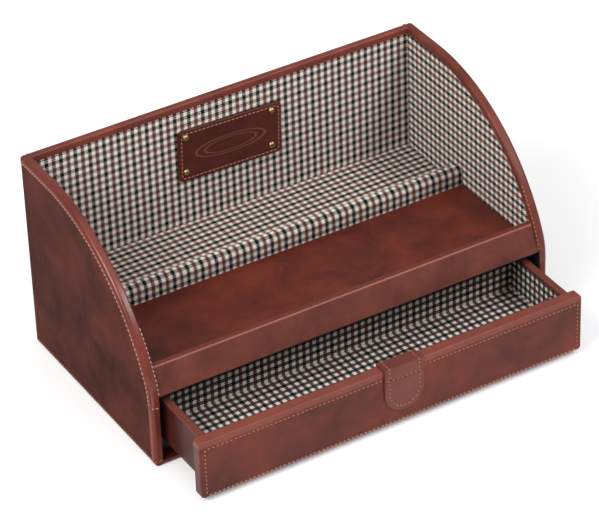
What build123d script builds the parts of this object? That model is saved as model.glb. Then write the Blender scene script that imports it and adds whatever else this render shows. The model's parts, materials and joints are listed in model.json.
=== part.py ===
"""Charging valet box with an open phone ledge, a front tray and a pull-out drawer.

The origin is on the table, in the middle of the cabinet. X runs along the front, Y to the back, Z up.
The drawer stands open, as far as drawer_pull, and every size is in millimetres.
"""
from build123d import *
from math import atan2, cos, degrees, radians, sin, sqrt
import os

# Overall size of the cabinet
width = 300.0
depth = 164.0
height = 147.5
top_flat = 35.4          # level stretch of the sides' top, from the back
arc_overrun = 7.4        # the quarter arc of the sides would end this far past the front plane
foot_radius = 45.0       # eases the arc into the upright front edge

# Sheet and board thicknesses
leather = 0.8
lining = 0.8             # checked cloth
side_board_t = 4.8
back_board_t = 3.8
deck_t = 3.2
base_board_t = 1.8
felt_t = 0.6
skirt_gap = 0.3          # the leather stops this far above the table

# Leather binding over the top edges
binding_leg = 5.0        # width on the outer and inner faces
binding_lip = 1.0        # thickness on the inner face
binding_foot_z = 44.0    # where the binding ends on the front edge
corner_round = 2.4       # outer corners of the leather
binding_inner_round = 1.8

# Heights of the shelf
deck_z = 49.6            # underside of the deck board
platform_rise = 2.9      # board under the front tray
ridge_y = 9.4            # front face of the phone ridge
ridge_t = 9.6
ridge_rise = 17.5        # above the deck board

# Front rail
rail_top_z = 71.3
rail_t = 5.0
rail_setback = 0.5
deck_setback = 3.0       # deck edge behind the foot of the rail
rail_lean = 1.7          # the rail leans back more than the sides' edge
rail_round = 1.3

# Cable ways
slot_count = 3
slot_pitch = 90.0
slot_length = 28.0
slot_width = 8.0
slot_behind_ridge = 3.0
port_z = 24.0
port_length = 46.0
port_height = 20.0
grommet_wall = 1.6
grommet_flange = 3.0

# Drawer
drawer_pull = 49.0       # how far it stands open
drawer_side_gap = 0.5    # front panel to cabinet side
drawer_foot_gap = 0.6    # front panel to base
drawer_front_h = 43.4
drawer_front_t = 8.0
drawer_corner = 2.6
drawer_edge_round = 1.6
drawer_lap = 4.8         # front panel past the drawer's sides
drawer_wall_t = 3.6
drawer_inner_depth = 59.6
drawer_rim_drop = 1.8    # rim below the front panel's top
drawer_rim_lip = 2.0     # leather turned down inside
drawer_bottom_t = 2.4
drawer_lift = 10.0       # underside above the base's leather
runner_gap = 0.3
runner_width = 14.0
runner_setback = 9.5
guide_rise = 10.0
guide_gap = 0.4
stop_height = 14.0
stop_t = 6.0
stop_gap = 0.3

# Pull tab
tab_x = 5.4
tab_width = 29.2
tab_t = 1.2
tab_reach = 33.3         # from the front panel's top to the tab's tip
tab_seam_drop = 8.0      # cross stitch below the front panel's top
tab_gap = 0.3
tab_tail = 9.0           # turned down inside the drawer

# Name plate
plate_width = 79.3
plate_height = 39.2
plate_t = 2.2
plate_corner = 3.5
plate_x = 1.6
plate_drop = 40.5        # its middle below the top
plate_tilt = -1.7
stud_x = 33.0
stud_z = 13.4
stud_r = 2.25
stud_shift = (-1.2, 1.2)  # set by hand, not quite in the middle of the plate
stud_rise = 1.4
seat_gap = 0.02
tiny = 0.01

# Places worked out from the sizes above
half_width = width / 2
front_y = -depth / 2
back_y = depth / 2
board_outer_x = half_width - leather
board_inner_x = board_outer_x - side_board_t
side_lining_x = board_inner_x - lining
back_board_y = back_y - leather - back_board_t
back_lining_y = back_board_y - lining
arc_y = back_y - top_flat
arc_radius = depth - top_flat + arc_overrun
plate_z = height - plate_drop
arc_z = height - arc_radius
foot_y = front_y + foot_radius
foot_z = arc_z + sqrt((arc_radius - foot_radius) ** 2 - (foot_y - arc_y) ** 2)
blend_angle = degrees(atan2(foot_z - arc_z, foot_y - arc_y))
blend_z = arc_z + arc_radius * sin(radians(blend_angle))
base_z = felt_t
base_top_z = base_z + base_board_t
base_leather_z = base_top_z + leather
deck_top_z = deck_z + deck_t
rail_bottom_z = deck_top_z
platform_z = deck_top_z + platform_rise + leather
ledge_z = deck_top_z + lining
ridge_back_y = ridge_y + ridge_t
slot_y = ridge_back_y + slot_behind_ridge + slot_width / 2
binding_top_z = height - binding_leg

drawer_y = front_y - drawer_pull
drawer_front_half = board_inner_x - drawer_side_gap
drawer_foot_z = base_leather_z + drawer_foot_gap
drawer_top_z = drawer_foot_z + drawer_front_h
panel_back_y = drawer_y + drawer_front_t
drawer_half = drawer_front_half - drawer_lap
drawer_under_z = base_leather_z + drawer_lift
drawer_rim_z = drawer_top_z - drawer_rim_drop
wall_outer_x = drawer_half - leather
wall_inner_x = wall_outer_x - drawer_wall_t
drawer_clear_x = wall_inner_x - lining
drawer_clear_y = panel_back_y + drawer_inner_depth
drawer_wall_y = drawer_clear_y + lining
drawer_leather_y = drawer_wall_y + drawer_wall_t
drawer_back_y = drawer_leather_y + leather
drawer_floor_z = drawer_under_z + leather + drawer_bottom_t
tab_seam_z = drawer_top_z - tab_seam_drop
board_top_z = drawer_top_z - leather
board_foot_z = drawer_foot_z + leather


def front_at(z):
    """Y of the sides' front outline at a height."""
    if z <= foot_z:
        return front_y
    if z <= blend_z:
        return foot_y - sqrt(foot_radius**2 - (z - foot_z) ** 2)
    return arc_y - sqrt(arc_radius**2 - (z - arc_z) ** 2)


def runs_on_outline(edge):
    """True for an edge along the top, the arc or the front of a side."""
    middle = edge @ 0.5
    return abs(middle.Z - height) < tiny or abs(middle.Y - front_at(middle.Z)) < tiny


def side_outline(inset=0.0, mode=Mode.ADD):
    """Outline of a side in a YZ sketch, set in along the top, the arc, the front and the foot."""
    with BuildLine() as outline:
        Line((back_y, height - inset), (arc_y, height - inset))
        CenterArc((arc_y, arc_z), arc_radius - inset, 90, blend_angle - 90)
        CenterArc((foot_y, foot_z), foot_radius - inset, blend_angle, 180 - blend_angle)
        Polyline(
            (front_y + inset, foot_z),
            (front_y + inset, skirt_gap + inset),
            (back_y, skirt_gap + inset),
            (back_y, height - inset),
        )
    make_face(outline.edges(), mode=mode)


def outer_edges(side):
    """Edges round the outer face of a side, with the one across its top at the back."""
    across_top = side.edges().filter_by(Axis.X).sort_by(lambda edge: (edge @ 0.5).Y + (edge @ 0.5).Z)[-1]
    return [*side.faces().sort_by(Axis.X)[-1].edges(), across_top]


def band(y_from, y_to, z_from, z_to, mode=Mode.ADD):
    """A rectangle in a YZ sketch between two depths and two heights."""
    with Locations(((y_from + y_to) / 2, (z_from + z_to) / 2)):
        Rectangle(y_to - y_from, z_to - z_from, mode=mode)


def plan(x_from, x_to, y_from, y_to, mode=Mode.ADD):
    """A rectangle in an XY sketch between two widths and two depths."""
    with Locations(((x_from + x_to) / 2, (y_from + y_to) / 2)):
        Rectangle(x_to - x_from, y_to - y_from, mode=mode)


def front_view(x_from, x_to, z_from, z_to, mode=Mode.ADD):
    """A rectangle in a front-view sketch between two widths and two heights."""
    with Locations(((x_from + x_to) / 2, (z_from + z_to) / 2)):
        Rectangle(x_to - x_from, z_to - z_from, mode=mode)


def facing(y):
    """A sketch plane at a depth, with X to the right, Z up and its normal to the front."""
    return Plane(origin=(0, y, 0), x_dir=(1, 0, 0), z_dir=(0, -1, 0))


def cable_slots():
    """Rounded slots behind the ridge, cut from a sketch."""
    with Locations((0, slot_y)):
        with GridLocations(slot_pitch, 1, slot_count, 1):
            SlotOverall(slot_length, slot_width, mode=Mode.SUBTRACT)


pieces = {}


def keep(name, builder):
    """Label a finished piece and put it on the list that is written out."""
    builder.part.label = name
    pieces[name] = builder.part


# Base
with BuildPart() as base_felt:
    with BuildSketch(Plane.XY):
        plan(-board_inner_x + 2, board_inner_x - 2, front_y + 4, back_board_y - 2)
    extrude(amount=felt_t)
keep("base_felt", base_felt)

with BuildPart() as base_board:
    with BuildSketch(Plane.XY.offset(base_z)):
        plan(-board_inner_x, board_inner_x, front_y + leather, back_board_y)
    extrude(amount=base_board_t)
keep("base_board", base_board)

with BuildPart() as base_edge_leather:
    with BuildSketch(Plane.YZ.offset(-board_inner_x)):
        band(front_y, front_y + runner_setback, base_z, base_leather_z)
        band(front_y + leather, front_y + runner_setback, base_z, base_top_z, Mode.SUBTRACT)
    extrude(amount=2 * board_inner_x)
keep("base_edge_leather", base_edge_leather)

# Sides: a board with rounded outer edges, and a leather cover in three pieces
with BuildPart() as right_side_board:
    with BuildSketch(Plane.YZ.offset(board_inner_x)):
        side_outline(leather)
        band(back_y - leather, back_y, 0, height, Mode.SUBTRACT)
    extrude(amount=side_board_t)
    fillet(outer_edges(right_side_board), radius=corner_round - leather)
keep("right_side_board", right_side_board)

with BuildPart() as left_side_board:
    mirror(right_side_board.part, about=Plane.YZ)
keep("left_side_board", left_side_board)

with BuildPart() as right_cover:
    with BuildSketch(Plane.YZ.offset(board_inner_x)):
        side_outline()
    extrude(amount=half_width - board_inner_x)
    fillet(outer_edges(right_cover), radius=corner_round)
    add(right_side_board.part, mode=Mode.SUBTRACT)

with BuildPart() as binding_zone:
    with BuildSketch(Plane.YZ.offset(board_inner_x - binding_lip)):
        side_outline()
        side_outline(binding_leg, Mode.SUBTRACT)
        band(front_y, back_y, skirt_gap, binding_foot_z, Mode.SUBTRACT)
    extrude(amount=half_width - board_inner_x + binding_lip)

with BuildPart() as strip_zone:
    with BuildSketch(Plane.YZ.offset(board_inner_x)):
        band(front_y, front_y + binding_leg, skirt_gap, binding_foot_z)
    extrude(amount=half_width - board_inner_x)

with BuildPart() as right_side_leather:
    add(right_cover.part)
    add(binding_zone.part, mode=Mode.SUBTRACT)
    add(strip_zone.part, mode=Mode.SUBTRACT)
keep("right_side_leather", right_side_leather)

with BuildPart() as right_front_strip:
    add(right_cover.part)
    add(strip_zone.part, mode=Mode.INTERSECT)
keep("right_front_strip", right_front_strip)

with BuildPart() as left_front_strip:
    mirror(right_front_strip.part, about=Plane.YZ)
keep("left_front_strip", left_front_strip)

with BuildPart() as left_side_leather:
    mirror(right_side_leather.part, about=Plane.YZ)
keep("left_side_leather", left_side_leather)

# What the round inner edge of the binding takes away
with BuildPart() as rounded_block:
    with BuildSketch(Plane.YZ.offset(board_inner_x - binding_lip)):
        side_outline()
        band(front_y, back_y, skirt_gap, rail_bottom_z, Mode.SUBTRACT)
    extrude(amount=half_width - board_inner_x + binding_lip)
    lip_edges = rounded_block.faces().sort_by(Axis.X)[0].edges()
    fillet(lip_edges.filter_by(runs_on_outline), radius=binding_inner_round)

with BuildPart() as inner_sliver:
    with BuildSketch(Plane.YZ.offset(board_inner_x - binding_lip)):
        side_outline()
        band(front_y, back_y, skirt_gap, rail_bottom_z, Mode.SUBTRACT)
    extrude(amount=half_width - board_inner_x + binding_lip)
    add(rounded_block.part, mode=Mode.SUBTRACT)

with BuildPart() as right_binding_whole:
    add(right_cover.part)
    add(binding_zone.part, mode=Mode.INTERSECT)
    with BuildSketch(Plane.YZ.offset(board_inner_x - binding_lip)):
        side_outline()
        side_outline(binding_leg, Mode.SUBTRACT)
        band(front_y, back_y, skirt_gap, rail_bottom_z, Mode.SUBTRACT)
    extrude(amount=binding_lip)
    add(inner_sliver.part, mode=Mode.SUBTRACT)

# The bindings of the sides and of the back are mitred where they meet
lip_x = board_inner_x - binding_lip
lip_y = back_board_y - binding_lip
mitre = Plane(origin=(half_width, back_y, 0), x_dir=(0, 0, 1), z_dir=(back_y - lip_y, lip_x - half_width, 0))

with BuildPart() as right_edge_binding:
    add(right_binding_whole.part)
    split(bisect_by=mitre, keep=Keep.TOP)
keep("right_edge_binding", right_edge_binding)

with BuildPart() as left_edge_binding:
    mirror(right_edge_binding.part, about=Plane.YZ)
keep("left_edge_binding", left_edge_binding)

# Back
flange_length = port_length + 2 * grommet_flange
flange_height = port_height + 2 * grommet_flange

with BuildPart() as back_board:
    with BuildSketch(facing(back_y - leather)):
        front_view(-board_inner_x, board_inner_x, base_z, height - leather)
        with Locations((0, port_z)):
            SlotOverall(port_length, port_height, mode=Mode.SUBTRACT)
    extrude(amount=back_board_t)
    top_back_edge = back_board.edges().filter_by(Axis.X).group_by(Axis.Z)[-1].sort_by(Axis.Y)[-1]
    fillet(top_back_edge, radius=corner_round - leather)
keep("back_board", back_board)

with BuildPart() as back_leather:
    with BuildSketch(facing(back_y)):
        front_view(-board_inner_x, board_inner_x, skirt_gap, binding_top_z)
        with Locations((0, port_z)):
            SlotOverall(flange_length, flange_height, mode=Mode.SUBTRACT)
    extrude(amount=leather)
keep("back_leather", back_leather)

with BuildPart() as back_top_binding:
    with BuildSketch(Plane.YZ.offset(-board_inner_x)):
        band(lip_y, back_y, binding_top_z, height)
    extrude(amount=2 * board_inner_x)
    top_edges = back_top_binding.edges().filter_by(Axis.X).group_by(Axis.Z)[-1].sort_by(Axis.Y)
    fillet(top_edges[0], radius=binding_inner_round)
    fillet(top_edges[-1], radius=corner_round)
    add(left_edge_binding.part, mode=Mode.SUBTRACT)
    add(right_edge_binding.part, mode=Mode.SUBTRACT)
    with BuildPart(mode=Mode.PRIVATE) as right_corner:
        add(right_binding_whole.part)
        split(bisect_by=mitre, keep=Keep.BOTTOM)
    add(right_corner.part)
    mirror(right_corner.part, about=Plane.YZ)
    add(back_board.part, mode=Mode.SUBTRACT)
keep("back_top_binding", back_top_binding)

with BuildPart() as cable_port_grommet:
    with BuildSketch(facing(back_y)):
        with Locations((0, port_z)):
            SlotOverall(flange_length, flange_height)
    extrude(amount=leather)
    with BuildSketch(facing(back_y)):
        with Locations((0, port_z)):
            SlotOverall(port_length, port_height)
    extrude(amount=leather + back_board_t)
    with BuildSketch(facing(back_y)):
        with Locations((0, port_z)):
            SlotOverall(port_length - 2 * grommet_wall, port_height - 2 * grommet_wall)
    extrude(amount=leather + back_board_t, mode=Mode.SUBTRACT)
keep("cable_port_grommet", cable_port_grommet)

# Deck, front tray and ridge
rail_foot_y = front_at(rail_bottom_z) + rail_setback
rail_head_y = front_at(rail_top_z) + rail_setback + rail_lean
rail_slope = (rail_head_y - rail_foot_y) / (rail_top_z - rail_bottom_z)
tray_front_y = rail_foot_y + rail_t + rail_slope * (platform_z - rail_bottom_z)
tray_half = board_inner_x - binding_lip

with BuildPart() as deck_board:
    with BuildSketch(Plane.XY.offset(deck_z)):
        plan(-board_inner_x, board_inner_x, rail_foot_y + deck_setback, back_board_y)
        cable_slots()
    extrude(amount=deck_t)
keep("deck_board", deck_board)


def rail_profile(inset=0.0, mode=Mode.ADD):
    """Leaning section of the front rail in a YZ sketch, with both top edges rounded."""
    with BuildLine() as outline:
        Polyline(
            (rail_foot_y + inset, rail_bottom_z + inset),
            (rail_head_y + inset, rail_top_z - inset),
            (rail_head_y + rail_t - inset, rail_top_z - inset),
            (rail_foot_y + rail_t - inset, rail_bottom_z + inset),
            close=True,
        )
    make_face(outline.edges(), mode=mode)


with BuildPart() as front_rail_board:
    with BuildSketch(Plane.YZ.offset(-tray_half)):
        rail_profile(leather)
    extrude(amount=2 * tray_half)
    fillet(front_rail_board.edges().filter_by(Axis.X).group_by(Axis.Z)[-1], radius=rail_round - leather)
keep("front_rail_board", front_rail_board)

with BuildPart() as front_rail_leather:
    with BuildSketch(Plane.YZ.offset(-tray_half)):
        rail_profile()
    extrude(amount=2 * tray_half)
    fillet(front_rail_leather.edges().filter_by(Axis.X).group_by(Axis.Z)[-1], radius=rail_round)
    add(front_rail_board.part, mode=Mode.SUBTRACT)
keep("front_rail_leather", front_rail_leather)

with BuildPart() as platform_panel:
    with BuildSketch(Plane.XY.offset(deck_top_z)):
        plan(-tray_half + leather, tray_half - leather, tray_front_y + leather, ridge_y - leather)
    extrude(amount=platform_rise)
keep("platform_panel", platform_panel)

with BuildPart() as platform_leather:
    with BuildSketch(Plane.XY.offset(deck_top_z)):
        plan(-tray_half, tray_half, tray_front_y, ridge_y)
    extrude(amount=platform_rise + leather)
    add(platform_panel.part, mode=Mode.SUBTRACT)
keep("platform_leather", platform_leather)

with BuildPart() as ridge_bar:
    with BuildSketch(Plane.YZ.offset(-tray_half)):
        band(ridge_y + lining, ridge_back_y - lining, deck_top_z, deck_top_z + ridge_rise - lining)
    extrude(amount=2 * tray_half)
    fillet(
        ridge_bar.edges().filter_by(Axis.X).group_by(Axis.Z)[-1],
        radius=(ridge_t / 2 - lining) * 0.98,
    )
keep("ridge_bar", ridge_bar)

with BuildPart() as ridge_cover:
    with BuildSketch(Plane.YZ.offset(-tray_half)):
        band(ridge_y, ridge_back_y, deck_top_z, deck_top_z + ridge_rise)
    extrude(amount=2 * tray_half)
    fillet(
        ridge_cover.edges().filter_by(Axis.X).group_by(Axis.Z)[-1],
        radius=ridge_t / 2 * 0.98,
    )
    add(ridge_bar.part, mode=Mode.SUBTRACT)
keep("ridge_cover", ridge_cover)

# Cloth lining
with BuildPart() as ledge_lining:
    with BuildSketch(Plane.XY.offset(deck_top_z)):
        plan(-tray_half, tray_half, ridge_back_y, back_lining_y)
        cable_slots()
    extrude(amount=lining)
keep("ledge_lining", ledge_lining)

with BuildPart() as back_lining:
    with BuildSketch(facing(back_board_y)):
        front_view(-board_inner_x, board_inner_x, deck_top_z, binding_top_z)
    extrude(amount=lining)
keep("back_lining", back_lining)

with BuildPart() as right_side_lining:
    with BuildSketch(Plane.YZ.offset(side_lining_x)):
        side_outline(binding_leg)
        band(front_y, back_lining_y, deck_top_z, height, Mode.INTERSECT)
    extrude(amount=lining)
keep("right_side_lining", right_side_lining)

with BuildPart() as left_side_lining:
    mirror(right_side_lining.part, about=Plane.YZ)
keep("left_side_lining", left_side_lining)

# Name plate and its studs
tilt = radians(plate_tilt)
plate_plane = Plane(
    origin=(plate_x, back_lining_y - seat_gap, plate_z),
    x_dir=(cos(tilt), 0, sin(tilt)),
    z_dir=(0, -1, 0),
)

with BuildPart() as nameplate:
    with BuildSketch(plate_plane):
        RectangleRounded(plate_width, plate_height, plate_corner)
    extrude(amount=plate_t)
    fillet(nameplate.faces().sort_by(Axis.Y)[0].edges(), radius=plate_t / 3)
keep("nameplate", nameplate)

with BuildPart() as nameplate_studs:
    with BuildSketch(plate_plane.offset(plate_t)):
        with Locations(stud_shift):
            with GridLocations(2 * stud_x, 2 * stud_z, 2, 2):
                Circle(stud_r)
    extrude(amount=stud_rise)
    fillet(nameplate_studs.faces().group_by(Axis.Y)[0].edges(), radius=stud_rise * 0.95)
keep("nameplate_studs", nameplate_studs)

# Runners, guides and stop for the drawer
runner_front_y = front_y + runner_setback
runner_top_z = drawer_under_z - runner_gap
guide_inner_x = drawer_half + guide_gap

with BuildPart() as right_drawer_runner:
    with BuildSketch(Plane.XY.offset(base_top_z)):
        plan(board_inner_x - runner_width, board_inner_x, runner_front_y, back_board_y)
    extrude(amount=runner_top_z - base_top_z)
keep("right_drawer_runner", right_drawer_runner)

with BuildPart() as left_drawer_runner:
    mirror(right_drawer_runner.part, about=Plane.YZ)
keep("left_drawer_runner", left_drawer_runner)

with BuildPart() as right_drawer_guide:
    with BuildSketch(Plane.XY.offset(runner_top_z)):
        plan(guide_inner_x, board_inner_x, runner_front_y, back_board_y)
    extrude(amount=guide_rise)
keep("right_drawer_guide", right_drawer_guide)

with BuildPart() as left_drawer_guide:
    mirror(right_drawer_guide.part, about=Plane.YZ)
keep("left_drawer_guide", left_drawer_guide)

stop_y = drawer_back_y + drawer_pull + stop_gap

with BuildPart() as drawer_stop:
    with BuildSketch(Plane.XY.offset(base_top_z)):
        plan(-board_inner_x + runner_width, board_inner_x - runner_width, stop_y, stop_y + stop_t)
    extrude(amount=drawer_under_z - base_top_z + stop_height)
keep("drawer_stop", drawer_stop)

# Drawer front
with BuildPart() as drawer_front_board:
    with BuildSketch(facing(panel_back_y - leather)):
        front_view(-drawer_front_half + leather, drawer_front_half - leather, board_foot_z, board_top_z)
        fillet(vertices(), radius=drawer_corner - leather)
    extrude(amount=drawer_front_t - 2 * leather)
    fillet(drawer_front_board.faces().sort_by(Axis.Y)[0].edges(), radius=drawer_edge_round - leather)
keep("drawer_front_board", drawer_front_board)

with BuildPart() as drawer_front_leather:
    with BuildSketch(facing(panel_back_y)):
        front_view(-drawer_front_half, drawer_front_half, drawer_foot_z, drawer_top_z)
        fillet(vertices(), radius=drawer_corner)
    extrude(amount=drawer_front_t)
    fillet(drawer_front_leather.faces().sort_by(Axis.Y)[0].edges(), radius=drawer_edge_round)
    add(drawer_front_board.part, mode=Mode.SUBTRACT)
    with BuildSketch(facing(panel_back_y)):
        front_view(-drawer_half, drawer_half, drawer_under_z, drawer_rim_z)
    extrude(amount=leather, mode=Mode.SUBTRACT)
keep("drawer_front_leather", drawer_front_leather)

# Drawer box
with BuildPart() as drawer_underside:
    with BuildSketch(Plane.XY.offset(drawer_under_z)):
        plan(-wall_outer_x, wall_outer_x, panel_back_y - leather, drawer_leather_y)
    extrude(amount=leather)
keep("drawer_underside", drawer_underside)

with BuildPart() as drawer_bottom_board:
    with BuildSketch(Plane.XY.offset(drawer_under_z + leather)):
        plan(-wall_inner_x, wall_inner_x, panel_back_y - leather, drawer_wall_y)
    extrude(amount=drawer_bottom_t)
keep("drawer_bottom_board", drawer_bottom_board)

with BuildPart() as drawer_right_board:
    with BuildSketch(Plane.YZ.offset(wall_inner_x)):
        band(panel_back_y - leather, drawer_wall_y, drawer_under_z + leather, drawer_rim_z - leather)
    extrude(amount=drawer_wall_t)
keep("drawer_right_board", drawer_right_board)

with BuildPart() as drawer_left_board:
    mirror(drawer_right_board.part, about=Plane.YZ)
keep("drawer_left_board", drawer_left_board)

with BuildPart() as drawer_back_board:
    with BuildSketch(facing(drawer_leather_y)):
        front_view(-wall_outer_x, wall_outer_x, drawer_under_z + leather, drawer_rim_z - leather)
    extrude(amount=drawer_wall_t)
keep("drawer_back_board", drawer_back_board)

with BuildPart() as drawer_right_leather:
    with BuildSketch(facing(drawer_back_y)):
        front_view(drawer_clear_x, drawer_half, drawer_under_z, drawer_rim_z)
        front_view(drawer_clear_x, wall_inner_x, drawer_under_z, drawer_rim_z - drawer_rim_lip, Mode.SUBTRACT)
        front_view(wall_inner_x, wall_outer_x, drawer_under_z, drawer_rim_z - leather, Mode.SUBTRACT)
    extrude(amount=drawer_back_y - panel_back_y + leather)
    with BuildSketch(Plane.XY.offset(drawer_under_z)):
        plan(drawer_clear_x, wall_outer_x, drawer_clear_y, drawer_back_y)
    extrude(amount=drawer_front_h, mode=Mode.SUBTRACT)
keep("drawer_right_leather", drawer_right_leather)

with BuildPart() as drawer_left_leather:
    mirror(drawer_right_leather.part, about=Plane.YZ)
keep("drawer_left_leather", drawer_left_leather)

with BuildPart() as drawer_back_leather:
    with BuildSketch(Plane.YZ.offset(-wall_outer_x)):
        band(drawer_clear_y, drawer_back_y, drawer_under_z, drawer_rim_z)
        band(drawer_clear_y, drawer_wall_y, drawer_under_z, drawer_rim_z - drawer_rim_lip, Mode.SUBTRACT)
        band(drawer_wall_y, drawer_leather_y, drawer_under_z, drawer_rim_z - leather, Mode.SUBTRACT)
    extrude(amount=2 * wall_outer_x)
    add(drawer_left_board.part, mode=Mode.SUBTRACT)
    add(drawer_right_board.part, mode=Mode.SUBTRACT)
keep("drawer_back_leather", drawer_back_leather)

# Cloth inside the drawer
wall_lining_top_z = drawer_rim_z - drawer_rim_lip

with BuildPart() as drawer_floor_lining:
    with BuildSketch(Plane.XY.offset(drawer_floor_z)):
        plan(-wall_inner_x, wall_inner_x, panel_back_y - leather, drawer_wall_y)
    extrude(amount=lining)
keep("drawer_floor_lining", drawer_floor_lining)

with BuildPart() as drawer_right_lining:
    with BuildSketch(Plane.YZ.offset(drawer_clear_x)):
        band(panel_back_y, drawer_clear_y, drawer_floor_z + lining, wall_lining_top_z)
    extrude(amount=lining)
keep("drawer_right_lining", drawer_right_lining)

with BuildPart() as drawer_left_lining:
    mirror(drawer_right_lining.part, about=Plane.YZ)
keep("drawer_left_lining", drawer_left_lining)

with BuildPart() as drawer_back_lining:
    with BuildSketch(facing(drawer_wall_y)):
        front_view(-wall_inner_x, wall_inner_x, drawer_floor_z + lining, wall_lining_top_z)
    extrude(amount=lining)
keep("drawer_back_lining", drawer_back_lining)

with BuildPart() as drawer_front_lining:
    with BuildSketch(facing(panel_back_y)):
        front_view(-drawer_clear_x, drawer_clear_x, drawer_floor_z + lining, drawer_rim_z)
    extrude(amount=lining)
keep("drawer_front_lining", drawer_front_lining)

# Pull tab: a strap over the front's top, and the loose end below its cross stitch
tab_front_y = drawer_y - tab_gap
tab_back_y = panel_back_y + tab_gap
tab_fold_z = drawer_top_z + tab_gap
tab_radius = tab_width / 2
tab_round_z = drawer_top_z - tab_reach + tab_radius

with BuildPart() as pull_tab_strap:
    with BuildSketch(Plane.YZ.offset(tab_x - tab_radius)):
        band(tab_front_y - tab_t, tab_back_y + tab_t, tab_seam_z, tab_fold_z + tab_t)
        band(tab_front_y, tab_back_y, tab_seam_z, tab_fold_z, Mode.SUBTRACT)
        band(tab_back_y, tab_back_y + tab_t, tab_fold_z - tab_tail, tab_fold_z)
    extrude(amount=tab_width)
    fillet(pull_tab_strap.edges().filter_by(Axis.X).group_by(Axis.Z)[-1], radius=tab_t / 2)
keep("pull_tab_strap", pull_tab_strap)

with BuildPart() as pull_tab:
    with BuildSketch(facing(tab_front_y)):
        with Locations((tab_x, tab_round_z)):
            Circle(tab_radius)
        front_view(tab_x - tab_radius, tab_x + tab_radius, tab_round_z, drawer_top_z)
        front_view(tab_x - tab_radius, tab_x + tab_radius, tab_seam_z - tab_gap, drawer_top_z, Mode.SUBTRACT)
    extrude(amount=tab_t)
    fillet(pull_tab.faces().sort_by(Axis.Y)[0].edges().filter_by(Axis.X, reverse=True), radius=tab_t / 3)
keep("pull_tab", pull_tab)

os.makedirs("parts", exist_ok=True)
for name, piece in pieces.items():
    export_step(piece, f"parts/{name}.step")
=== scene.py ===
"""Finishes the charging valet box in leather, checked cloth and thread, on a pale studio floor.

Metres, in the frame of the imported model: X along the front, Y to the back, Z up. Stitch rows and edge
roundings are laid out in millimetres.
"""

import json
from math import atan2, cos, pi, radians, sin

import bmesh
import bpy
from mathutils import Matrix, Vector


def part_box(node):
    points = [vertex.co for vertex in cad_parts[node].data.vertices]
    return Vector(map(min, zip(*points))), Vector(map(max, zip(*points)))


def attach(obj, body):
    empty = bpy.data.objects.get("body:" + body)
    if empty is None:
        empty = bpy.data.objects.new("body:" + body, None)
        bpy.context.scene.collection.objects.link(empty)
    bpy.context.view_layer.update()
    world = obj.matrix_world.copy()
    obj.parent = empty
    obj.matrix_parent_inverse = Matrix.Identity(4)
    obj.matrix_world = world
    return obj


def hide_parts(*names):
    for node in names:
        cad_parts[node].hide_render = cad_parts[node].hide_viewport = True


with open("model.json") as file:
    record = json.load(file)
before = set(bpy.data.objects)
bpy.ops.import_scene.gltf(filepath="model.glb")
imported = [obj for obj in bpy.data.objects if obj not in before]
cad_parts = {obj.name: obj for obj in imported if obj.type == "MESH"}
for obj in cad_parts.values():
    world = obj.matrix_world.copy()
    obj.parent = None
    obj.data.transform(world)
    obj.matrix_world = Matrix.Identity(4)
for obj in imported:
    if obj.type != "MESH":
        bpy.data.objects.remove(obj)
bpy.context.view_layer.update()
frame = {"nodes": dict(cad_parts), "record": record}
nodes = frame["nodes"]
mm = 0.001


# Materials
def new_material(name):
    """A node material and its Principled shader."""
    material = bpy.data.materials.new(name)
    material.use_nodes = True
    return material, material.node_tree.nodes["Principled BSDF"]


def new_group(name, inputs, outputs):
    """A shader node group with its input and output nodes."""
    group = bpy.data.node_groups.new(name, "ShaderNodeTree")
    for label, kind, value in inputs:
        group.interface.new_socket(label, in_out="INPUT", socket_type=kind).default_value = value
    for label, kind in outputs:
        group.interface.new_socket(label, in_out="OUTPUT", socket_type=kind)
    return group, group.nodes.new("NodeGroupInput"), group.nodes.new("NodeGroupOutput")


def node(tree, kind, values=None, **settings):
    """A new node with its settings, and with values by the names of its inputs."""
    made = tree.nodes.new(kind)
    for key, value in settings.items():
        setattr(made, key, value)
    for label, value in (values or {}).items():
        made.inputs[label].default_value = value
    return made


def join(tree, source, target):
    """Links an output socket to an input socket."""
    tree.links.new(source, target)


def maths(tree, operation, first, second=None, clamp=False):
    """A Math node whose inputs are sockets or numbers. Returns its output."""
    made = node(tree, "ShaderNodeMath", operation=operation, use_clamp=clamp)
    for place, value in enumerate((first, second)):
        if value is None:
            continue
        if isinstance(value, (int, float)):
            made.inputs[place].default_value = value
        else:
            join(tree, value, made.inputs[place])
    return made.outputs[0]


def blend_colours(tree, factor, first, second, kind="MIX"):
    """A colour Mix node whose inputs are sockets or colours. Returns its output."""
    made = node(tree, "ShaderNodeMix", data_type="RGBA", blend_type=kind)
    for place, value in ((0, factor), (6, first), (7, second)):
        if isinstance(value, (int, float, tuple)):
            made.inputs[place].default_value = value
        else:
            join(tree, value, made.inputs[place])
    return made.outputs[2]


def object_place(tree):
    """The place of a point on its piece."""
    return node(tree, "ShaderNodeTexCoord").outputs["Object"]


def cloudy(tree, place, values):
    """A noise texture at a place. Returns its value."""
    made = node(tree, "ShaderNodeTexNoise", values)
    join(tree, place, made.inputs["Vector"])
    return made.outputs[0]


def raise_surface(tree, shader, height, strength, depth):
    """Turns a height into the shader's normal. Depth is in metres."""
    bump = node(tree, "ShaderNodeBump", {"Strength": strength, "Distance": depth})
    join(tree, height, bump.inputs["Height"])
    join(tree, bump.outputs[0], shader.inputs["Normal"])


def linear(red, green, blue):
    """A colour given as screen values from 0 to 255."""
    def channel(value):
        value /= 255
        return value / 12.92 if value <= 0.04045 else ((value + 0.055) / 1.055) ** 2.4
    return (channel(red), channel(green), channel(blue), 1.0)


white = (1, 1, 1, 1)

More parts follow.
